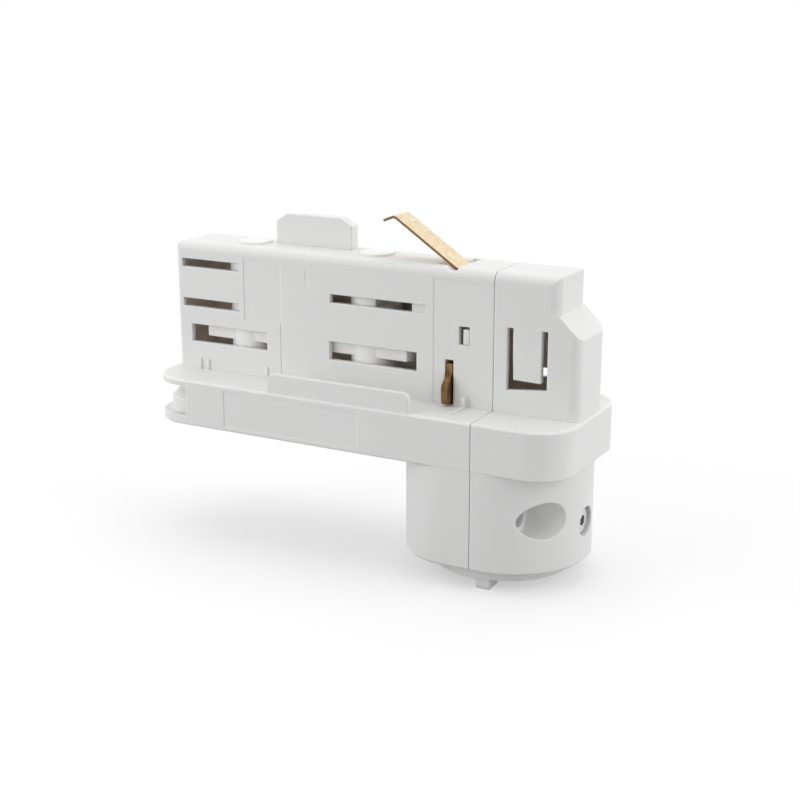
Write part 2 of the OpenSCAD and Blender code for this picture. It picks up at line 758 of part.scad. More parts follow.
// Left-hand moulding with the track insert, the flange block and the flat side of the boss
module main_housing() color(white_plastic) difference() {
    union() {
        long_insert();
        intersection() {
            outer_form();
            block([-2 * block_reach, 0], [-block_w, block_w], [2 * boss_bottom, over]);
        }
        fence();
        key_tab();
        foot_ribs();
        contact_rim();
    }
    block([-insert_reach + insert_wall, over], [-inner_y, inner_y], [0, roof_z]);
    block([-cover_far, over], [-inner_y, inner_y], [-flange_t - over, over]);
    for (x = [selector_x, locking_x]) {
        bar_z(x, 0, [-flange_t - over, roof_z], drum_bore_r);
        bar_z(x, 0, [roof_z - over, insert_h + over], journal_r + running_gap);
    }
    difference() {
        along_z([cover_top - over, -flange_t]) {
            cover_plan(-cover_ledge);
            rect([-cover_dist - cover_ledge - over, over], [-cover_y + cover_ledge, cover_y - cover_ledge]);
        }
        for (side = [-1, 1])
            bar_z(cover_post[0], side * cover_post[1], [cover_top - over, 0], post_r);
    }
    along_z([-block_h - over, cover_top]) cover_plan(seat_gap);
    intersection() {
        along_z([-chamber_depth, cover_top]) boss_plan(block_wall);
        block([-boss_reach, over], [-block_w, block_w], [-chamber_depth, 0]);
    }
    for (side = [-1, 1]) {
        bar_z(cover_post[0], side * cover_post[1], [cover_top - over, -flange_t], cover_screw_r);
        bar_x([joint_seat - joint_shank_len - over, over], side * joint_screw_y, -joint_screw_depth,
            joint_shank_r);
        block(hook_x, side_wall(side), hook_z);
    }
    bush_space();
    finger_window();
    translate([selector_x, 0, 0]) mirror([1, 0, 0])
        side_slots([low_level, high_level], 0, selector_slot_back, 0);
    translate([locking_x, 0, 0])
        side_slots([middle_level], thin_slot_back, locking_slot_back, thin_slot_blind);
    face_fields();
    spring_pocket();
    block([fin_x[0] - moving_gap, fin_x[1] + moving_gap], side_wall(-1), [0, fin_h + fin_slot_over]);
}

// Upright fence on the front edge of the flange
module fence() {
    y = -block_y + fence_setback;
    x = [-fence_dist - fence_len, -fence_dist];
    along_y([y, y + fence_t]) {
        rect([x[0], x[1]], [-flange_t, fence_h - fence_r]);
        rect([x[0] + fence_r, x[1] - fence_r], [-flange_t, fence_h]);
        for (px = [x[0] + fence_r, x[1] - fence_r])
            translate([px, fence_h - fence_r]) circle(fence_r);
    }
}

// Upright key on the roof between the two rotors
module key_tab() {
    x = [tab_x - tab_len / 2, tab_x + tab_len / 2];
    z = insert_h + tab_h;
    along_y([tab_offset, tab_offset + tab_t])
        polygon([[x[0], roof_z], [x[1], roof_z], [x[1], z - tab_chamfer_drop], [x[1] - tab_chamfer_len, z],
            [x[0] + tab_chamfer_len, z], [x[0], z - tab_chamfer_drop]]);
}

// Small upright ribs where the insert meets the flange
module foot_ribs()
    for (x = [selector_x - rib_far, selector_x - rib_near, selector_x + rib_back])
        foot_rib(x);

// One foot rib that starts at x
module foot_rib(x, proud = rib_proud)
    block([x, x + rib_t], [-insert_y - proud, -inner_y], [-flange_t, rib_h]);

// Low rim on the flange beside the side earth contact
module contact_rim() {
    x = hook_x[1] - 2 * rib_t;
    y = [-insert_y - rim_len, -insert_y];
    block([x, x + rib_t], y, [-flange_t, rim_h]);
    block([x - 3 * rib_t, x + rib_t], [y[0], y[0] + rib_t], [-flange_t, rim_h]);
    foot_rib(x, rim_foot);
}

// Right-hand moulding with the stepped insert end and the round side of the boss
module end_housing() color(white_plastic) {
    difference() {
        union() {
            end_insert();
            intersection() {
                outer_form();
                block([seam_gap, 2 * block_end], [-block_w, block_w], [2 * boss_bottom, over]);
            }
        }
        end_insert_space();
        for (side = [-1, 1]) {
            latch_slot(side);
            y = side * joint_screw_y;
            bar_x([-over, joint_seat + over], y, -joint_screw_depth, joint_shank_r + seat_gap);
            bar_x([joint_seat, joint_entry_floor + over], y, -joint_screw_depth, joint_head_r + seat_gap);
            bar_x([joint_entry_floor, boss_end + over], y, -joint_screw_depth, joint_entry_r);
        }
        intersection() {
            along_z([-block_h + window_floor_t, -flange_t]) block_plan(block_wall);
            block([-over, block_end], [-block_w, block_w], [-block_h, 0]);
        }
        intersection() {
            along_z([-chamber_depth, -block_h + window_floor_t + over]) boss_plan(block_wall);
            block([-over, block_end], [-block_w, block_w], [-chamber_depth, 0]);
        }
        bush_space();
        bar_x([bush_hub_r, boss_end + over], grub_y, -grub_depth, grub_r + running_gap);
        bar_x([boss_end - grub_entry_depth, boss_end + over], grub_y, -grub_depth, grub_entry_r);
    }
    spigot();
    for (side = [-1, 1]) snap_hook(side);
}

// Outer form of the stepped insert end
module end_insert() {
    slope = end_lower_reach - end_upper_reach;
    intersection() {
        along_x([seam_gap, end_upper_reach]) insert_section();
        along_z([-block_h, insert_h + over])
            soft_rect([-end_upper_reach, end_upper_reach], [-insert_y, insert_y], end_corner_r);
    }
    intersection() {
        along_y([-insert_y, insert_y])
            polygon([[seam_gap, -flange_t], [end_lower_reach, -flange_t],
                [end_lower_reach, end_step_h - slope], [end_upper_reach, end_step_h],
                [seam_gap, end_step_h]]);
        along_z([-block_h, insert_h])
            soft_rect([-end_lower_reach, end_lower_reach], [-insert_y, insert_y], end_corner_r);
    }
}

// Hollow of the stepped insert end
module end_insert_space() {
    y = [-inner_y, inner_y];
    slope = end_lower_reach - end_upper_reach;
    along_y(y)
        polygon([[-over, -flange_t - over], [end_lower_reach - insert_wall, -flange_t - over],
            [end_lower_reach - insert_wall, end_step_h - slope - insert_wall / 2],
            [end_upper_reach - insert_wall, end_step_h - insert_wall / 2],
            [end_upper_reach - insert_wall, roof_z], [-over, roof_z]]);
}

// U-shaped cut that frees the snap tongue in one side wall
module latch_slot(side) {
    x = [latch_from + latch_cut, latch_to - latch_cut];
    along_y(side_wall(side))
        difference() {
            polygon([[latch_from, latch_bottom], [latch_to, latch_bottom + latch_rise],
                [latch_to, latch_top], [latch_from, latch_top]]);
            rect(x, [latch_tip, latch_top + over]);
        }
    latch_facet_cut(side, x);
}

// Sloping facet at the tongue's lower corner on the split side
module latch_facet_cut(side, x) {
    face = side * insert_y;
    out = side * (insert_y + over);
    reach = over / latch_facet;
    corner = [x[0], face - side * latch_facet, latch_tip];
    up = [x[0], face, latch_tip + latch_facet_h];
    along = [x[1] - latch_cut / 2, face, latch_tip];
    middle = (up + along) / 2;
    points = [corner + (corner - middle) / 4, up + (up - corner) * reach, along + (along - corner) * reach,
        [latch_from + latch_cut / 2, out, latch_bottom + latch_tip_gap / 2]];
    polyhedron(points, side < 0 ? [[0, 2, 1], [0, 1, 3], [0, 3, 2], [1, 2, 3]]
        : [[0, 1, 2], [0, 3, 1], [0, 2, 3], [1, 3, 2]]);
}

// Locating frame that enters the main housing's insert
module spigot() {
    y = inner_y - seat_gap;
    z = [spigot_foot, roof_z - seat_gap];
    x = [-spigot_len, insert_wall + spigot_t];
    difference() {
        block(x, [-y, y], z);
        block([x[0] - over, x[1] + over], [-y + spigot_t, y - spigot_t], [z[0] + spigot_t, z[1] - spigot_t]);
    }
    for (side = [-1, 1])
        block([seam_gap, x[1]], side < 0 ? [-inner_y - over, -y + over] : [y - over, inner_y + over], z);
}

// Arm on the locating frame with a nose that snaps into the main housing's window
module snap_hook(side) {
    y = inner_y - seat_gap;
    x = [hook_x[1] - seat_gap - hook_nose_w, hook_x[1] - seat_gap];
    z = [hook_z[0] + seat_gap, hook_z[0] + seat_gap + hook_nose_h];
    arm = [y - spigot_t, y];
    nose = [y - over, insert_y - seat_gap];
    block([x[0], -spigot_len + over], side < 0 ? [-arm[1], -arm[0]] : arm, z);
    block(x, side < 0 ? [-nose[1], -nose[0]] : nose, z);
}

// Plate that closes the flange block from below
module base_cover() color(white_plastic) difference() {
    along_z([cover_bottom, cover_top]) cover_plan();
    for (x = [selector_x, locking_x])
        bar_z(x, 0, [cover_bottom - over, cover_top + over], spindle_r + running_gap);
    for (side = [-1, 1]) {
        bar_z(cover_post[0], side * cover_post[1], [cover_bottom - over, cover_top + over],
            cover_screw_r + seat_gap);
        bar_z(cover_post[0], side * cover_post[1], [cover_bottom - over, cover_bottom + cover_head_h],
            cover_head_r + seat_gap);
    }
}

// Two screws that hold the base cover
module cover_screws() color(steel) {
    head_z = [cover_bottom, cover_bottom + cover_head_h];
    for (side = [-1, 1])
        difference() {
            union() {
                bar_z(cover_post[0], side * cover_post[1], head_z, cover_head_r);
                bar_z(cover_post[0], side * cover_post[1], [cover_bottom, -flange_t - over], cover_screw_r);
            }
            cross_recess([cover_post[0], side * cover_post[1], cover_bottom], cover_head_r, cover_head_h);
        }
}

// Cross-shaped driver recess in a head that faces down
module cross_recess(at, head_r, head_h)
    translate([at[0], at[1], at[2] - over])
        for (turn = [0, 90])
            rotate([0, 0, turn])
                translate([-head_r * recess_len / 2, -head_r * recess_w / 2, 0])
                    cube([head_r * recess_len, head_r * recess_w, over + head_h * recess_depth]);

// Two screws that join the housings along X
module housing_screws() color(steel) {
    head_x = [joint_seat, joint_seat + joint_head_h];
    for (side = [-1, 1])
        difference() {
            union() {
                bar_x(head_x, side * joint_screw_y, -joint_screw_depth, joint_head_r);
                bar_x([joint_seat - joint_shank_len, head_x[1]], side * joint_screw_y, -joint_screw_depth,
                    joint_shank_r);
            }
            translate([head_x[1], side * joint_screw_y, -joint_screw_depth])
                rotate([0, -90, 0]) cross_recess([0, 0, 0], joint_head_r, joint_head_h);
        }
}

// Moulded drum with its journal, locking lugs, spindle and square drive, blades towards +X
module rotor(levels) {
    drive = [-drive_w / 2, drive_w / 2];
    difference() {
        union() {
            bar_z(0, 0, [-flange_t + moving_gap, roof_z - moving_gap], drum_r);
            bar_z(0, 0, [roof_z - moving_gap, insert_h + journal_proud], journal_r);
            bar_z(0, 0, [knob_top, 0], spindle_r);
            bar_z(0, 0, [cover_top + running_gap, ring_bottom], spindle_r + collar_w);
            block(drive, drive, [knob_bottom + moving_gap, knob_top]);
            along_z([lug_bottom, lug_bottom + lug_t]) {
                intersection() {
                    circle(long_lug_reach);
                    rect([0, long_lug_reach], [-lug_y, lug_y]);
                }
                intersection() {
                    circle(lug_reach);
                    rect([-lug_reach, 0], [-lug_y, lug_y]);
                }
            }
        }
        for (level = levels)
            block([-blade_tail, drum_r + over], [blade_offset, blade_offset + blade_w],
                [level - blade_t / 2, level + blade_t / 2]);
        bar_z(0, 0, [knob_bottom - over, ring_bottom], knob_screw_r);
    }
}

// Flat contact blade with a round tip and a raised contact line, towards +X
module blade(level) {
    z = level - blade_t / 2;
    y = blade_offset + blade_w / 2;
    along_z([z, z + blade_t]) {
        rect([-blade_tail, blade_reach - blade_w / 2], [blade_offset, blade_offset + blade_w]);
        translate([blade_reach - blade_w / 2, y]) circle(blade_w / 2);
    }
}

// Brass slip ring under the drum
module slip_ring()
    difference() {
        bar_z(0, 0, [ring_bottom, -flange_t], ring_r);
        bar_z(0, 0, [ring_bottom - over, -flange_t + over], spindle_r + press_gap);
    }

// Round knob with a grip bar, a pointer and a square socket
module knob() {
    grip_x = knob_r - grip_margin;
    socket = [-drive_w / 2 - press_gap, drive_w / 2 + press_gap];
    difference() {
        union() {
            bar_z(0, 0, [knob_bottom, knob_top], knob_r);
            along_z([grip_bottom, knob_bottom])
                soft_rect([-grip_x, grip_x], [-grip_w / 2, grip_w / 2], grip_corner_r);
        }
        block(socket, socket, [knob_bottom + moving_gap, knob_top + over]);
        bar_z(0, 0, [grip_bottom - over, knob_top], knob_screw_r + seat_gap);
        bar_z(0, 0, [grip_bottom - over, grip_bottom + knob_head_h], knob_head_r + seat_gap);
        block([grip_x - pointer_w - pointer_len, grip_x - pointer_w], [-pointer_w / 2, pointer_w / 2],
            [grip_bottom - over, grip_bottom + pointer_depth]);
    }
}

// Screw that holds a knob on its spindle
module knob_screw()
    difference() {
        union() {
            bar_z(0, 0, [grip_bottom, grip_bottom + knob_head_h], knob_head_r);
            bar_z(0, 0, [grip_bottom, ring_bottom - over], knob_screw_r);
        }
        cross_recess([0, 0, grip_bottom], knob_head_r, knob_head_h);
    }

// Places a piece on the selector rotor's axis, with its blades towards the free end
module at_selector()
    translate([selector_x, 0, 0])
        mirror([1, 0, 0]) children();

// Places a piece on the locking rotor's axis
module at_locking()
    translate([locking_x, 0, 0]) children();

module selector_rotor() color(white_plastic) at_selector() rotor([low_level, high_level]);
module selector_upper_blade() color(brass) at_selector() blade(high_level);
module selector_lower_blade() color(brass) at_selector() blade(low_level);
module selector_ring() color(brass) at_selector() slip_ring();
module selector_knob() color(white_plastic) at_selector() knob();
module selector_knob_screw() color(steel) at_selector() knob_screw();

module locking_rotor() color(white_plastic) at_locking() difference() {
    rotor([middle_level]);
    block([notch_from, drum_r + over], [-drum_r - over, 0],
        [middle_level - notch_h / 2, middle_level + notch_h / 2]);
}
module locking_blade() color(brass) at_locking() blade(middle_level);
module locking_ring() color(brass) at_locking() slip_ring();
module locking_knob() color(white_plastic) at_locking() knob();
module locking_knob_screw() color(steel) at_locking() knob_screw();

// Brass strip that rises from its rolled root and turns down at the tip
module earth_spring() color(brass) {
    bend = spring_rise + spring_fall;
    tangent = spring_bend_r * tan(bend / 2);
    straight = spring_len - tangent;
    along_y(spring_y) translate([spring_x, spring_z]) {
        circle(spring_eye_r);
        rotate(180 - spring_rise) rect([0, straight], [-spring_t / 2, spring_t / 2]);
        rotate(180 - spring_rise) translate([straight, spring_bend_r])
            rotate(bend) translate([0, -spring_bend_r])
                rect([0, spring_tip - tangent], [-spring_t / 2, spring_t / 2]);
    }
    translate([spring_x, spring_y[1], spring_z]) rotate([90, 0, 0])
        rotate([0, 0, 180 - spring_rise]) translate([straight, spring_bend_r, 0])
            rotate([0, 0, -90])
                rotate_extrude(angle = bend)
                    rect([spring_bend_r - spring_t / 2, spring_bend_r + spring_t / 2], [0, spring_w]);
}

// Brass fin that stands out of the side face
module earth_side_contact() color(brass) {
    back = -insert_y + fin_depth;
    front = -insert_y - fin_stand;
    neck = -insert_y + fin_neck_depth;
    along_x(fin_x)
        polygon([[back, fin_foot], [front + fin_chamfer, fin_foot], [front, fin_foot + fin_chamfer],
            [front, fin_bulge_h], [neck, fin_neck_h], [neck, fin_h], [back, fin_h]]);
}

// Brass strap from the earth terminal up to the root of the earth spring
module earth_strap() color(brass) {
    half = strap_w / 2;
    block([leg_x, leg_x + bus_t], [-half, half], [clamp_top, strap_top]);
    block([leg_x, spring_x + spring_eye_r], [-half, half], [strap_top - bus_t, strap_top]);
}

// Flat strip under the flange from a terminal to a slip ring, on the side given by side
module bus(axis_x, side) {
    y = side < 0 ? [-bus_y - bus_w, -bus_y] : [bus_y, bus_y + bus_w];
    tip = ring_r + moving_gap / 2;
    finger = side < 0 ? [-bus_y - bus_w, -tip] : [tip, bus_y + bus_w];
    z = [-flange_t - bus_t, -flange_t];
    block([axis_x - finger_w / 2, leg_x + bus_t], y, z);
    block([axis_x - finger_w / 2, axis_x + finger_w / 2], finger, z);
    block([leg_x, leg_x + bus_t], y, [clamp_top, -flange_t]);
}

module phase_bus() color(brass) bus(selector_x, -1);
module neutral_bus() color(brass) bus(locking_x, 1);

// Insulating block with three open pockets for the clamps
module terminal_block() color(pale_plastic) {
    half = terminal_pitch * 1.5;
    difference() {
        intersection() {
            block(terminal_x, [-half, half], [-chamber_depth, terminal_top]);
            along_z([-chamber_depth, terminal_top]) boss_plan(block_wall + seat_gap);
        }
        for (i = [-1, 0, 1]) {
            y = i * terminal_pitch;
            half_clamp = clamp_w / 2 + seat_gap;
            block([clamp_x[0] - seat_gap, clamp_x[1] + seat_gap], [y - half_clamp, y + half_clamp],
                [clamp_top - clamp_h, terminal_top + over]);
            bar_x([clamp_x[1], terminal_x[1] + over], y, clamp_z, terminal_head_r + seat_gap);
        }
    }
}

// Three brass clamps with a wire hole from above
module terminal_clamps() color(brass)
    for (i = [-1, 0, 1]) {
        y = i * terminal_pitch;
        hole_x = clamp_x[1] - wire_hole_dist;
        difference() {
            block(clamp_x, [y - clamp_w / 2, y + clamp_w / 2], [clamp_top - clamp_h, clamp_top]);
            bar_z(hole_x, y, [clamp_top - clamp_h + wire_hole_r, clamp_top + over], wire_hole_r);
            bar_x([hole_x, clamp_x[1] + over], y, clamp_z, terminal_screw_r);
        }
    }

// Three terminal screws that face the stem
module terminal_screws() color(steel)
    for (i = [-1, 0, 1]) {
        y = i * terminal_pitch;
        head_x = [clamp_x[1] + terminal_head_gap, terminal_x[1]];
        slot_y = [y - terminal_head_r - over, y + terminal_head_r + over];
        difference() {
            union() {
                bar_x(head_x, y, clamp_z, terminal_head_r);
                bar_x([clamp_x[1] - terminal_screw_r, head_x[1]], y, clamp_z, terminal_screw_r);
            }
            block([head_x[1] - terminal_slot_w, head_x[1] + over], slot_y,
                [clamp_z - terminal_slot_w / 2, clamp_z + terminal_slot_w / 2]);
        }
    }

// Turning bush with a hub inside the boss and a disc with a driving lug below it
module stem_bush() color(white_plastic) difference() {
    foot_y = -bush_disc_r + bush_lug_inset;
    union() {
        bar_z(0, 0, [disc_bottom, disc_top], bush_disc_r);
        bar_z(0, 0, [disc_bottom, hub_bottom + over], bush_neck_r);
        bar_z(0, 0, [hub_bottom, hub_top], bush_hub_r);
        block([bush_lug_inset, bush_lug_inset + bush_lug_w], [foot_y, foot_y + bush_lug_len],
            [disc_bottom - bush_lug_h, disc_bottom + over]);
    }
    bar_z(0, 0, [disc_bottom - over, hub_top + over], stem_bore_r);
    translate([0, 0, hub_top - stem_nut_t])
        cylinder(d = (stem_nut_af + 2 * press_gap) / cos(30), h = stem_nut_t + over, $fn = 6);
}

// Hexagon nut for the luminaire's stem
module stem_nut() color(brass)
    translate([0, 0, hub_top - stem_nut_t])
        difference() {
            cylinder(d = stem_nut_af / cos(30), h = stem_nut_t, $fn = 6);
            translate([0, 0, -over]) cylinder(r = stem_thread_r, h = stem_nut_t + 2 * over);
        }

// Sliding washer between the hub and the boss floor
module bush_washer() color(steel)
    difference() {
        bar_z(0, 0, [hub_seat, hub_bottom], bush_hub_r);
        bar_z(0, 0, [hub_seat - over, hub_bottom + over], bush_neck_r + running_gap);
    }

// Socket grub screw that brakes the bush
module grub_screw() color(steel) {
    x = [bush_hub_r + moving_gap, bush_hub_r + moving_gap + grub_len];
    difference() {
        bar_x(x, grub_y, -grub_depth, grub_r);
        translate([x[1] - grub_r, grub_y, -grub_depth])
            rotate([0, 90, 0]) cylinder(r = grub_r / 2, h = grub_r + over, $fn = 6);
    }
}

main_housing();
end_housing();
base_cover();
cover_screws();
housing_screws();
selector_rotor();
selector_upper_blade();
selector_lower_blade();
selector_ring();
selector_knob();
selector_knob_screw();
locking_rotor();
locking_blade();
locking_ring();
locking_knob();
locking_knob_screw();
earth_spring();
earth_side_contact();
earth_strap();
phase_bus();
neutral_bus();
terminal_block();
terminal_clamps();
terminal_screws();
stem_bush();
stem_nut();
bush_washer();
grub_screw();
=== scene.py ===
# %% [markdown]
# # A track light adapter
# This lesson dresses a lighting-track adapter. The shapes come from a packed construction model, in
# metres, and every surface gets its finish here: white moulded plastic, pale insulating plastic, brass
# and zinc-plated steel. The frame stays as it is, so nothing has to be fitted by eye.

# %% Load the frame
import json
import math

import bpy
import numpy as np
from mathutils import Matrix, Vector


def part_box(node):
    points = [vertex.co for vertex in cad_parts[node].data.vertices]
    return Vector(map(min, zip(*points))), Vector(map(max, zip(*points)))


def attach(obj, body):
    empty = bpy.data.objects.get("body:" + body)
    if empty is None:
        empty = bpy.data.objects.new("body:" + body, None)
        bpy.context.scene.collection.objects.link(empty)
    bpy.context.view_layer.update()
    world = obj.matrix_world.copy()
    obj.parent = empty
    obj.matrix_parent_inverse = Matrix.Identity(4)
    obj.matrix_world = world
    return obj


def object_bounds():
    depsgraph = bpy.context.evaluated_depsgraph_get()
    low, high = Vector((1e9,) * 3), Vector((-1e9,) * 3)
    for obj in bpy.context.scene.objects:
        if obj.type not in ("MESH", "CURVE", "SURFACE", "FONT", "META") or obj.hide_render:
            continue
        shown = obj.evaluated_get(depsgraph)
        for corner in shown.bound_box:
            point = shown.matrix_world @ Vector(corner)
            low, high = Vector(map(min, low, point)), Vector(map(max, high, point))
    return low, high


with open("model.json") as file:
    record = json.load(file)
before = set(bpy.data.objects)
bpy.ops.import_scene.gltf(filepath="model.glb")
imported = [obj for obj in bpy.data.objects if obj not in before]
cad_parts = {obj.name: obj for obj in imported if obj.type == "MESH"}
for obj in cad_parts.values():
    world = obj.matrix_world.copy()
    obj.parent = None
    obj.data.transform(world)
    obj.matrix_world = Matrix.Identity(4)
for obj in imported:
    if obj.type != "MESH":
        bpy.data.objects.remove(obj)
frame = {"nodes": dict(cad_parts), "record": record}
cad_box = [list(corner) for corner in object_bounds()]
MM = 0.001
nodes = frame["nodes"]


def in_mm(lengths):
    """Metres as millimetres with one decimal, for the printed notes."""
    return [round(length / MM, 1) for length in lengths]


print("nodes loaded:", len(nodes), "box in mm:", [in_mm(corner) for corner in cad_box])

# %% [markdown]
# ## The camera
# The picture was taken from the front right, a little above the adapter. A camera can be placed by
# trial, or worked out from an orbit: a target, an azimuth, an elevation and a distance. The orbit is
# used here because each number has a plain meaning and can be changed by itself.

# %% Camera on an orbit
ORBIT_TARGET = Vector((-24.19, 0.0, -2.65)) * MM
ORBIT_AZIMUTH = math.radians(28.70)
ORBIT_ELEVATION = math.radians(15.79)
ORBIT_DISTANCE = 304.7 * MM
LENS_MM = 66.0
SENSOR_MM = 36.0


def orbit_point(azimuth, elevation, distance):
    """The point on a sphere round the target: azimuth 0 is the front, towards -Y."""
    level = math.cos(elevation)
    direction = Vector((math.sin(azimuth) * level, -math.cos(azimuth) * level, math.sin(elevation)))
    return ORBIT_TARGET + direction * distance


def turned_to_target(place):
    """The turn that makes a camera or a lamp at place look at the target."""
    return (ORBIT_TARGET - Vector(place)).to_track_quat("-Z", "Y").to_euler()


lens = bpy.data.cameras.new("photo_camera")
lens.lens = LENS_MM
lens.sensor_width = SENSOR_MM
camera = bpy.data.objects.new("photo_camera", lens)
camera.location = orbit_point(ORBIT_AZIMUTH, ORBIT_ELEVATION, ORBIT_DISTANCE)
camera.rotation_euler = turned_to_target(camera.location)
bpy.context.scene.collection.objects.link(camera)
bpy.context.scene.camera = camera
print("camera at mm:", in_mm(camera.location))

# %% [markdown]
# ## Writing shader maths as Python
# A finish is a small sum of patterns. Wiring each Math node by hand hides that sum, so one class wraps
# an output socket and lets plus, minus and times add the nodes. The reflected forms, such as `__rsub__`,
# serve expressions that start with a plain number, such as 1 - mask.

# %% A value in a material


class Value:
    """An output socket that can be used in a Python expression."""

    def __init__(self, finish, socket):
        self.finish = finish
        self.socket = socket

    def _math(self, operation, first, second):
        return self.finish.add("ShaderNodeMath", {"operation": operation}, {0: first, 1: second})

    def __add__(self, other):
        return self._math("ADD", self, other)

    def __radd__(self, other):
        return self._math("ADD", other, self)

    def __sub__(self, other):
        return self._math("SUBTRACT", self, other)

    def __rsub__(self, other):
        return self._math("SUBTRACT", other, self)

    def __mul__(self, other):
        return self._math("MULTIPLY", self, other)

    def __rmul__(self, other):
        return self._math("MULTIPLY", other, self)


print("values add nodes for: + - *")

# %% [markdown]
# ## One method for every other node
# Noise, ramps, bevels and coordinates are nodes too. They could each get a helper of their own, but one
# method that takes the node's type, its settings and its sockets covers them all. Two short methods stand
# on it, for the mixing of colours and for soft steps, because nearly every finish needs both.

# %% A finish
# A Mix node repeats its socket names for each kind of data, so its colour sockets go by their places.
MIX_FACTOR, MIX_FIRST, MIX_SECOND = 0, 6, 7
MIX_COLOUR = 2


class Finish:
    """A material, or a sky, with one method that adds any node and sets its sockets."""

    def __init__(self, block, shader="Principled BSDF"):
        block.use_nodes = True
        self.block = block
        self.tree = block.node_tree
        self.shader = self.tree.nodes[shader]

    def link(self, target, value):
        if isinstance(value, Value):
            self.tree.links.new(value.socket, target)
        else:
            target.default_value = value

    def add(self, kind, settings=None, sockets=None, out=0):
        node = self.tree.nodes.new(kind)
        for name, setting in (settings or {}).items():
            setattr(node, name, setting)
        for name, value in (sockets or {}).items():
            self.link(node.inputs[name], value)
        return Value(self, node.outputs[out])

    def mix(self, factor, first, second):
        """The colour that goes from first to second as factor goes from 0 to 1."""
        return self.add("ShaderNodeMix", {"data_type": "RGBA"},
                        {MIX_FACTOR: factor, MIX_FIRST: first, MIX_SECOND: second}, out=MIX_COLOUR)

    def ramp(self, value, zero_at, one_at):
        """A smooth step from 0 where value is zero_at to 1 where it is one_at."""
        return self.add("ShaderNodeMapRange", {"interpolation_type": "SMOOTHSTEP"},
                        {"Value": value, "From Min": zero_at, "From Max": one_at})

    def set(self, **sockets):
        for name, value in sockets.items():
            self.link(self.shader.inputs[name.replace("_", " ")], value)
        return self.block


print("finish helper ready")

# %% [markdown]
# ## Painted warm shade inside the insert
# The hollow between the insert's two side walls is seen in shade through the slots, and there the plastic
# is given a warmer colour that stands in for the warm light of that shade: painted shade. The inner faces
# belong to the same mouldings as the outer ones, so a second material would have to be put on face by face.
# A mask worked out from the place in the part is simpler: it is 1 in the hollow, fades within the thickness
# of a wall, and lets one plastic have two tones.

# %% Mask of the hollow
INSIDE_MIDDLE = Vector((-31.0, 0.0, 13.2)) * MM
INSIDE_HALF = Vector((43.4, 5.6, 13.2)) * MM
WALL_FADE = 0.15 * MM


def hollow_shade_mask(finish, place):
    """1 inside the insert's hollow and 0 outside: the product of one soft step along each axis."""
    from_middle = finish.add("ShaderNodeVectorMath", {"operation": "SUBTRACT"},
                             {0: place, 1: INSIDE_MIDDLE})
    reach = finish.add("ShaderNodeVectorMath", {"operation": "ABSOLUTE"}, {0: from_middle})
    reaches = [finish.add("ShaderNodeSeparateXYZ", {}, {0: reach}, out=axis) for axis in "XYZ"]
    x, y, z = (finish.ramp(reach_here, half + WALL_FADE, half)
               for reach_here, half in zip(reaches, INSIDE_HALF))
    return x * y * z


print("hollow from mm:", in_mm(INSIDE_MIDDLE - INSIDE_HALF), "to", in_mm(INSIDE_MIDDLE + INSIDE_HALF))

# %% [markdown]
# ## Painted highlights along the edges
# No moulded edge is truly sharp, and the standing edges are given a painted highlight: a colour lighter
# than the faces beside them. Real bevels would change the construction meshes, which have to stay as they
# are. The Bevel node rounds the edges in the normal alone. Where that rounded normal turns away from the
# flat one there is an edge, and where the air around is open it stands proud, so the product of the two
# finds it.

# %% Mask of the standing edges
EDGE_ROUND = 0.45 * MM
# Painted highlight: the near white that the standing edges are lightened to.
EDGE_HIGHLIGHT_TONE = (0.98, 0.98, 0.975, 1)
LEAST_TURN, FULL_TURN = 0.0005, 0.04
OPEN_REACH = 1.2 * MM
CLOSED_AIR, OPEN_AIR = 0.72, 0.94


def painted_edge_highlight(finish, round_edge):
    """1 along a standing edge, for the painted highlight: from the turn of the normal and the openness of the
    air.

    The turn is 1 minus the cosine of the angle between the rounded normal and the flat one.
    """
    flat = finish.add("ShaderNodeNewGeometry", out="True Normal")
    cosine = finish.add("ShaderNodeVectorMath", {"operation": "DOT_PRODUCT"},
                        {0: round_edge, 1: flat}, out="Value")
    openness = finish.add("ShaderNodeAmbientOcclusion", {"samples": 6}, {"Distance": OPEN_REACH}, out="AO")
    return finish.ramp(1 - cosine, LEAST_TURN, FULL_TURN) * finish.ramp(openness, CLOSED_AIR, OPEN_AIR)


print("edges rounded by mm:", in_mm([EDGE_ROUND]))

# %% [markdown]
# ## White moulded plastic
# The housings, rotors, knobs and bush are injection moulded in a white engineering plastic. The mould
# leaves a fine satin grain and a slow drift in gloss where the melt flowed. A flat white would do from
# afar, but close up it looks like paper. Here the grain is a fine noise in the bump, and the drift a slow
# noise in colour and roughness. The rotors are a brighter white, and the terminal block is a pale
# insulating plastic with less gloss.

# %% Plastic finishes
FLOW_SCALE = 70.0
GRAIN_SCALE = 5200.0
GRAIN_HEIGHT = 0.03 * MM
GRAIN_STRENGTH = 0.12
FLOW_DULLING, GRAIN_DULLING = 0.08, 0.06


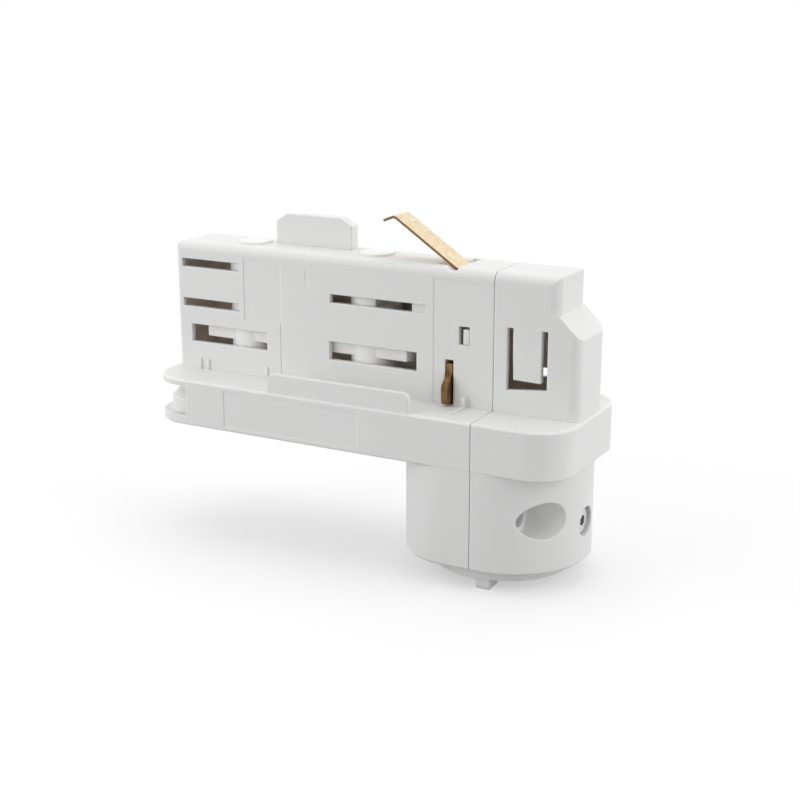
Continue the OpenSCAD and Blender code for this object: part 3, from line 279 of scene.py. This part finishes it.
def moulded_plastic(name, light, shade, gloss, inside=None):
    """Slow noise mixes two near colours; fine noise roughens the sheen and lifts the bump."""
    finish = Finish(bpy.data.materials.new(name))
    place = finish.add("ShaderNodeTexCoord", out="Object")
    flow = finish.add("ShaderNodeTexNoise", {}, {"Vector": place, "Scale": FLOW_SCALE, "Detail": 2.0})
    grain = finish.add("ShaderNodeTexNoise", {}, {"Vector": place, "Scale": GRAIN_SCALE, "Detail": 2.0})
    round_edge = finish.add("ShaderNodeBevel", {"samples": 8}, {"Radius": EDGE_ROUND})
    bump = finish.add("ShaderNodeBump", {}, {"Strength": GRAIN_STRENGTH, "Distance": GRAIN_HEIGHT,
                                             "Height": grain, "Normal": round_edge})
    colour = finish.mix(flow, light, shade)
    # Painted shade: in the insert's hollow the colour turns to a warmer tone that stands in for the warm
    # light of its shade.
    if inside:
        colour = finish.mix(hollow_shade_mask(finish, place), colour, inside)
    # Painted highlight: along the standing edges the colour goes to a near white.
    colour = finish.mix(painted_edge_highlight(finish, round_edge), colour, EDGE_HIGHLIGHT_TONE)
    roughness = gloss + FLOW_DULLING * flow + GRAIN_DULLING * grain
    return finish.set(Base_Color=colour, Roughness=roughness, Normal=bump)


# The inside colour of white_plastic is the painted warm shade of the insert's hollow.
white_plastic = moulded_plastic("white_plastic", light=(0.85, 0.85, 0.845, 1), shade=(0.82, 0.82, 0.815, 1),
                                gloss=0.34, inside=(0.97, 0.87, 0.78, 1))
rotor_plastic = moulded_plastic("rotor_plastic", light=(0.95, 0.95, 0.94, 1), shade=(0.93, 0.93, 0.92, 1),
                                gloss=0.3)
pale_plastic = moulded_plastic("pale_plastic", light=(0.74, 0.72, 0.66, 1), shade=(0.70, 0.68, 0.62, 1),
                               gloss=0.42)
print("plastic finishes:", white_plastic.name, rotor_plastic.name, pale_plastic.name)

# %% [markdown]
# ## Brass and steel
# The contacts are punched from rolled brass strip. Rolling leaves fine lines along the strip, and handling
# leaves slightly duller specks. The strip's side faces, those that point along Y, are painted a dark brown
# that stands in for their shade: painted shade. A noise drawn out along the strip gives the lines, and
# another with a steep ramp the specks. The side contact is given a dark brown brass colour all over. The
# screws are zinc-plated steel, with a soft mottled plating, so the same function serves for all three
# metals with other numbers.

# %% Metal finishes
LINE_SCALE = 3800.0
LINE_HEIGHT = 0.02 * MM
LINE_STRENGTH = 0.25
SPECK_START, SPECK_FULL = 0.38, 0.66
SPECK_DULLING, LINE_DULLING = 0.16, 0.08
SIDE_SHADE_START, SIDE_SHADE_FULL = 0.6, 0.9


def rolled_metal(name, bright, dull, stretch, gloss, specks, edge, side_shade=None):
    """Noise drawn out along X and Z makes rolling lines; a ramped one mixes bright metal and dull specks.

    Where side_shade is given, faces that point along Y, the strip's side faces, take that colour as painted
    shade.
    """
    finish = Finish(bpy.data.materials.new(name))
    place = finish.add("ShaderNodeTexCoord", out="Object")
    along = finish.add("ShaderNodeMapping", {}, {"Vector": place, "Scale": (stretch, 1.0, stretch)})
    lines = finish.add("ShaderNodeTexNoise", {}, {"Vector": along, "Scale": LINE_SCALE, "Detail": 3.0})
    mottle = finish.add("ShaderNodeTexNoise", {}, {"Vector": along, "Scale": specks, "Detail": 4.0})
    patch = finish.ramp(mottle, SPECK_START, SPECK_FULL)
    round_edge = finish.add("ShaderNodeBevel", {"samples": 6}, {"Radius": edge})
    bump = finish.add("ShaderNodeBump", {}, {"Strength": LINE_STRENGTH, "Distance": LINE_HEIGHT,
                                             "Height": lines, "Normal": round_edge})
    colour = finish.mix(patch, bright, dull)
    # Painted shade: faces that point along Y turn dark brown.
    if side_shade:
        facing = finish.add("ShaderNodeTexCoord", out="Normal")
        across = finish.add("ShaderNodeVectorMath", {"operation": "ABSOLUTE"}, {0: facing})
        sideways = finish.add("ShaderNodeSeparateXYZ", {}, {0: across}, out="Y")
        colour = finish.mix(finish.ramp(sideways, SIDE_SHADE_START, SIDE_SHADE_FULL), colour, side_shade)
    roughness = gloss + SPECK_DULLING * patch + LINE_DULLING * lines
    return finish.set(Base_Color=colour, Metallic=1.0, Roughness=roughness, Normal=bump)


# The dark brown side_shade of brass is painted shade on the strip's side faces.
brass = rolled_metal("brass", bright=(0.96, 0.84, 0.61, 1), dull=(0.85, 0.66, 0.41, 1), stretch=0.42,
                     gloss=0.26, specks=2600.0, edge=0.06 * MM, side_shade=(0.24, 0.15, 0.08, 1))
# dark_brass gives the side contact a dark brown colour all over.
dark_brass = rolled_metal("dark_brass", bright=(0.29, 0.17, 0.075, 1), dull=(0.15, 0.082, 0.034, 1),
                          stretch=0.5, gloss=0.3, specks=900.0, edge=0.12 * MM)
steel = rolled_metal("steel", bright=(0.80, 0.80, 0.82, 1), dull=(0.68, 0.68, 0.69, 1), stretch=0.6,
                     gloss=0.24, specks=420.0, edge=0.12 * MM)
print("metal finishes:", brass.name, dark_brass.name, steel.name)

# %% [markdown]
# ## Dressing the parts
# Each part could be given its finish by hand, but the record already says which finish it takes. One loop
# over the record puts the finishes on, so a part that is added there later is dressed too.

# %% Finishes onto parts
finishes = {"white_plastic": white_plastic, "rotor_plastic": rotor_plastic, "pale_plastic": pale_plastic,
            "brass": brass, "dark_brass": dark_brass, "steel": steel}
for part in frame["record"]["subparts"]:
    mesh = nodes[part["node"]].data
    mesh.materials.clear()
    mesh.materials.append(finishes[part["material_slot"]])

# %% [markdown]
# ## The thread in the stem nut
# The luminaire's stem screws into a hexagon nut that the bush carries, and the nut's thread can be seen
# from below through the bore. The construction model has a plain hole there. A thread could be cut with a
# boolean, but a ridge laid on the hole's wall is lighter and cleaner: a small trapezium carried along a
# helix, sunk into the wall at its foot and fading out at both ends, as a real thread does.

# %% Thread ridge
THREAD_PITCH = 1.5 * MM
THREAD_FOOT = 4.64 * MM
THREAD_CREST = 4.26 * MM
FOOT_HALF = 0.62 * MM
CREST_HALF = 0.14 * MM
STEPS_PER_TURN = 72
FADE_TURNS = 0.3
LEAST_SHARE = 0.02


def new_piece(name, points, faces):
    """An object in the scene whose mesh has these corner points and faces."""
    mesh = bpy.data.meshes.new(name)
    mesh.from_pydata(points.tolist(), [], faces)
    piece = bpy.data.objects.new(name, mesh)
    bpy.context.scene.collection.objects.link(piece)
    return piece


def helical_ridge(name, low, high):
    """A trapezium on a helix.

    After t turns its middle is at the angle 2 pi t and the height low + pitch t. Its crest stands at the
    foot's radius plus a share of the ridge's height, which grows from nearly 0 to 1 over the first part
    turn and shrinks again over the last. Each ring of corners is joined to the next, and the first and
    last rings are closed by a face.
    """
    turns = (high - low) / THREAD_PITCH
    turn = np.linspace(0.0, turns, int(STEPS_PER_TURN * turns) + 1)
    share = np.clip(np.minimum(turn, turns - turn) / FADE_TURNS, LEAST_SHARE, 1.0)
    crest = THREAD_FOOT + (THREAD_CREST - THREAD_FOOT) * share
    foot = np.full_like(crest, THREAD_FOOT)
    radius = np.stack([foot, crest, crest, foot], axis=1)
    across = np.array([-FOOT_HALF, -CREST_HALF, CREST_HALF, FOOT_HALF])
    angle = 2.0 * np.pi * turn[:, None]
    height = low + THREAD_PITCH * turn[:, None] + across
    points = np.stack([radius * np.cos(angle), radius * np.sin(angle), height], axis=2)
    corners = len(across)
    corner = np.arange(corners)
    ring = np.arange(len(turn) - 1)[:, None] * corners
    here = ring + corner
    beside = ring + (corner + 1) % corners
    sides = np.stack([here, beside, beside + corners, here + corners], axis=2).reshape(-1, 4)
    last_ring = corners * (len(turn) - 1) + corner
    faces = sides.tolist() + [corner[::-1].tolist(), last_ring.tolist()]
    return new_piece(name, points.reshape(-1, 3), faces)


nut_low, nut_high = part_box("stem_nut")
thread = helical_ridge("stem_thread_ridge", nut_low[2] + FOOT_HALF, nut_high[2] - FOOT_HALF)
thread.data.materials.append(brass)
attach(thread, "stem")
print("thread faces:", len(thread.data.polygons), "between mm:", in_mm([nut_low[2], nut_high[2]]))

# %% [markdown]
# ## Rays that draw the picture
# The adapter is shown on a white sweep. A floor that is truly white would throw a lot of light back up and
# flatten the shading. Light Path tells a ray that draws the picture from a ray that carries light: the
# first kind may see a white floor and sky, the second greyer ones. Rays off metal and through glass count
# as drawing the picture, so that reflections show the white surroundings too.

# %% Ray switch
WHITE = (1.0, 1.0, 1.0, 1)


def picture_ray(finish):
    """1 for rays from the camera, from a reflection or through glass, 0 for rays that carry light."""
    straight, mirrored, through = (finish.add("ShaderNodeLightPath", out="Is " + kind + " Ray")
                                   for kind in ("Camera", "Glossy", "Transmission"))
    return finish.add("ShaderNodeMath", {"operation": "ADD", "use_clamp": True},
                      {0: straight, 1: mirrored + through})


print("ray switch ready")

# %% [markdown]
# ## Floor
# The floor is one flat sheet just under the part. Near the part it is matt and takes the soft shadow, and
# farther out it blends to plain white, so that no horizon shows. A shadow catcher and a second picture
# could do the same, but a blend of two shaders needs one render only. From below the sheet is clear, so
# that the underside of the part can be looked at.

# %% White sweep
FLOOR_DROP = 0.1 * MM
FLOOR_HALF = 3.0
FLOOR_TONE = (0.46, 0.46, 0.46, 1)
FLOOR_ROUGHNESS = 0.9
SHADOW_REACH = 0.06
SHADOW_FADE = 0.18
SHADOW_LIFT = 0.45


def flat_sheet(name, half, height):
    """A square sheet: the corners at plus and minus half, all at one height."""
    sign = np.array([[-1, -1], [1, -1], [1, 1], [-1, 1]]) * half
    corners = np.column_stack([sign, np.full(len(sign), height)])
    return new_piece(name, corners, [(0, 1, 2, 3)])


def white_sweep():
    """Matt near the part, where its shadow falls; plain white to the picture farther out; clear from below.

    The share of white grows with the level distance from the target, by a smooth step.
    """
    finish = Finish(bpy.data.materials.new("white_sweep"))
    seen = picture_ray(finish)
    place = finish.add("ShaderNodeTexCoord", out="Object")
    level = finish.add("ShaderNodeVectorMath", {"operation": "MULTIPLY"}, {0: place, 1: (1.0, 1.0, 0.0)})
    centre = (ORBIT_TARGET.x, ORBIT_TARGET.y, 0.0)
    radius = finish.add("ShaderNodeVectorMath", {"operation": "DISTANCE"}, {0: level, 1: centre}, out="Value")
    far = finish.ramp(radius, SHADOW_REACH, SHADOW_FADE)
    finish.set(Base_Color=finish.mix(seen, FLOOR_TONE, WHITE), Roughness=FLOOR_ROUGHNESS)
    matt = Value(finish, finish.shader.outputs[0])
    glow = finish.add("ShaderNodeEmission", {}, {"Color": WHITE, "Strength": 1.0})
    whiteness = seen * (SHADOW_LIFT + (1 - SHADOW_LIFT) * far)
    sweep = finish.add("ShaderNodeMixShader", {}, {0: whiteness, 1: matt, 2: glow})
    below = finish.add("ShaderNodeNewGeometry", out="Backfacing")
    clear = finish.add("ShaderNodeBsdfTransparent")
    one_sided = finish.add("ShaderNodeMixShader", {}, {0: below, 1: sweep, 2: clear})
    finish.link(finish.tree.nodes["Material Output"].inputs["Surface"], one_sided)
    return finish.block


floor = flat_sheet("floor", FLOOR_HALF, cad_box[0][2] - FLOOR_DROP)
floor.data.materials.append(white_sweep())
print("floor at mm:", in_mm([floor.data.vertices[0].co.z]))

# %% [markdown]
# ## Lamps
# The light is soft. A wide lamp above and behind gives the light tops and leaves the flange in half shade,
# one on the left lights the long side and fades to the right, and one on the right lifts the end faces.
# Gloss mirrors the white sky and not the lamps, so that brass which faces a lamp keeps its colour.

# %% Soft lamps


def soft_lamp(name, place, size, power):
    """A square lamp at place, turned towards the part and left out of mirror images."""
    data = bpy.data.lights.new(name, "AREA")
    data.size = size
    data.energy = power
    lamp = bpy.data.objects.new(name, data)
    lamp.location = place
    lamp.visible_glossy = False
    lamp.rotation_euler = turned_to_target(place)
    bpy.context.scene.collection.objects.link(lamp)
    return lamp


lamps = [soft_lamp("top_lamp", place=(-0.1, 0.25, 0.78), size=0.8, power=2.5),
         soft_lamp("left_lamp", place=(-0.3, -0.22, 0.1), size=0.5, power=0.93),
         soft_lamp("end_lamp", place=(0.7, 0.12, 0.3), size=0.6, power=2.5)]
print("lamps:", [lamp.name for lamp in lamps])

# %% [markdown]
# ## Sky
# An even sky fills the shadows that the lamps leave. A picture of a studio could be wrapped round the part
# instead, but a plain white needs no file and leaves no pattern in the metal. The ray switch makes it
# fully white to the picture, and half as strong where it only lends light.

# %% Studio sky
SKY_LIGHT = 0.5
sky = Finish(bpy.data.worlds.new("studio_sky"), "Background")
sky_strength = SKY_LIGHT + (1.0 - SKY_LIGHT) * picture_ray(sky)
bpy.context.scene.world = sky.set(Color=WHITE, Strength=sky_strength)
bpy.context.scene.view_settings.view_transform = "Standard"
print("sky light:", SKY_LIGHT)
